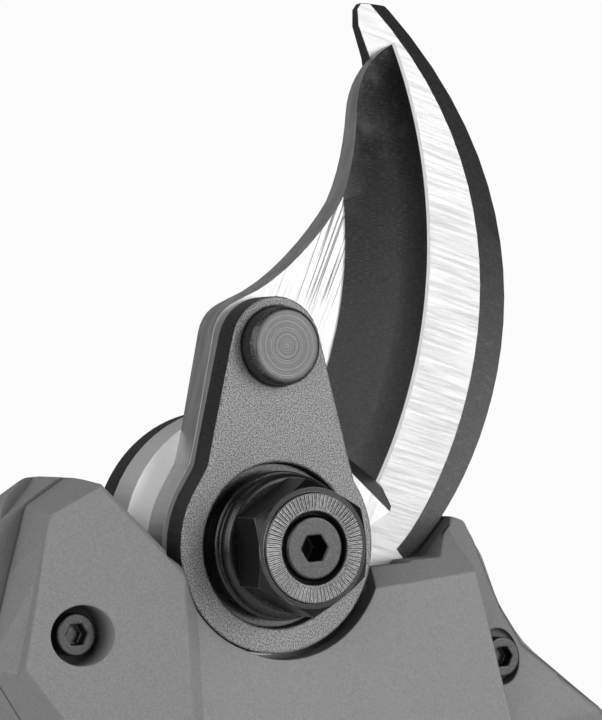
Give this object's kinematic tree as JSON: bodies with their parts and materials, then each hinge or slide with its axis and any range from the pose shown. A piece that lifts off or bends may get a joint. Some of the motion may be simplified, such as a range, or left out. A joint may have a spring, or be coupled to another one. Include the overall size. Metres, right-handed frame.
{
  "type": "battery electric pruner",
  "caption": "Cordless bypass pruner: hooked counter blade, curved cutting blade on a pivot, geared motor in a straight grip, guarded trigger and slide-off battery.",
  "frame": {"origin": "on the blade pivot axis, at the shear plane between the cutting blade and the hook", "axes": "+Z along the tool from the battery towards the blade tips, +X towards the hook and the trigger, -Y towards the side with the pivot nut; the pivot axis is Y"},
  "size_m": [0.1094, 0.051, 0.3246],
  "materials": {
    "ground_steel": "ground, satin",
    "blasted_steel": "phosphated, fine grain",
    "black_steel": "black oxide",
    "bright_steel": "machined",
    "cast_alloy": "cast",
    "iron_core": "laminated",
    "bronze": "plain",
    "grey_shell": "fine moulded texture",
    "soft_grip": "matt",
    "black_plastic": "moulded",
    "clear_lens": "frosted",
    "circuit_board": "lacquered",
    "cable_jacket": "smooth",
    "cell_wrap": "shrink wrap"
  },
  "bodies": {
    "body": {"front_shell": "grey_shell", "rear_shell": "grey_shell", "shell_screws": "black_steel", "grip_cover": "soft_grip", "gearcase": "cast_alloy", "hook_blade": "ground_steel", "hook_screws": "black_steel", "pivot_bolt": "black_steel", "pivot_nut": "black_steel", "flange_washer": "black_steel", "disc_washer": "black_steel", "pinion_bearing": "bright_steel", "ring_gear": "bright_steel", "motor_plate": "cast_alloy", "motor_can": "cast_alloy", "stator": "iron_core", "motor_bushes": "bronze", "trigger_pin": "bright_steel", "trigger_spring": "bright_steel", "status_lens": "clear_lens", "controller_board": "circuit_board", "board_parts": "black_plastic", "motor_leads": "cable_jacket", "battery_leads": "cable_jacket", "contact_block": "black_plastic", "contact_blades": "bronze"},
    "swing": {"cutting_blade": "ground_steel", "link_plate": "blasted_steel", "sector_gear": "blasted_steel", "drive_pin": "black_steel", "pivot_bush": "black_steel"},
    "output": {"bevel_pinion": "bright_steel", "planet_carrier": "bright_steel", "planet_pins": "bright_steel", "bearing_core": "bright_steel"},
    "planet_one": {"planet_a": "bright_steel"},
    "planet_two": {"planet_b": "bright_steel"},
    "planet_three": {"planet_c": "bright_steel"},
    "armature": {"sun_gear": "bright_steel", "rotor": "iron_core", "motor_shaft": "bright_steel"},
    "finger": {"trigger": "black_plastic", "trigger_magnet": "bright_steel"},
    "button": {"power_button": "soft_grip"},
    "battery": {"battery_case": "black_plastic", "battery_lid": "black_plastic", "battery_cells": "cell_wrap", "battery_board": "circuit_board", "battery_contacts": "bronze"},
    "catch_left": {"latch_left": "grey_shell"},
    "catch_right": {"latch_right": "grey_shell"}
  },
  "joints": [
    {"name": "blade_swing", "type": "hinge", "parent": "body", "child": "swing", "pos_m": [0, 0, 0], "axis": [0, -1, 0], "range_deg": [0, 48]},
    {"name": "pinion_turn", "type": "hinge", "parent": "body", "child": "output", "pos_m": [0, 0.008, -0.03], "axis": [0, 0, 1], "range_deg": [-193, 1]},
    {"name": "motor_turn", "type": "hinge", "parent": "body", "child": "armature", "pos_m": [0, 0.008, -0.088], "axis": [0, 0, 1], "range_deg": [-965, 5]},
    {"name": "trigger_pull", "type": "hinge", "parent": "body", "child": "finger", "pos_m": [0.027, 0.008, -0.0435], "axis": [0, 1, 0], "range_deg": [0, 8], "deforming": ["trigger_spring"]},
    {"name": "power_press", "type": "slide", "parent": "body", "child": "button", "axis": [0, 1, 0], "range_m": [0, 0.0008]},
    {"name": "battery_slide", "type": "slide", "parent": "body", "child": "battery", "axis": [0, 0, -1], "range_m": [0, 0.03]},
    {"name": "catch_left_press", "type": "slide", "parent": "battery", "child": "catch_left", "axis": [1, 0, 0], "range_m": [0, 0.0018]},
    {"name": "catch_right_press", "type": "slide", "parent": "battery", "child": "catch_right", "axis": [-1, 0, 0], "range_m": [0, 0.0018]},
    {"name": "planet_a_turn", "type": "hinge", "parent": "output", "child": "planet_one", "pos_m": [0, 0.017, -0.058], "axis": [0, 0, 1], "range_deg": [-5, 517]},
    {"name": "planet_b_turn", "type": "hinge", "parent": "output", "child": "planet_two", "pos_m": [-0.00779, 0.0035, -0.058], "axis": [0, 0, 1], "range_deg": [-5, 517]},
    {"name": "planet_c_turn", "type": "hinge", "parent": "output", "child": "planet_three", "pos_m": [0.00779, 0.0035, -0.058], "axis": [0, 0, 1], "range_deg": [-5, 517]}
  ],
  "couplings": [
    {"joint": "pinion_turn", "follows": "blade_swing", "ratio": -4},
    {"joint": "motor_turn", "follows": "blade_swing", "ratio": -20},
    {"joint": "planet_a_turn", "follows": "blade_swing", "ratio": 10.667},
    {"joint": "planet_b_turn", "follows": "blade_swing", "ratio": 10.667},
    {"joint": "planet_c_turn", "follows": "blade_swing", "ratio": 10.667}
  ]
}
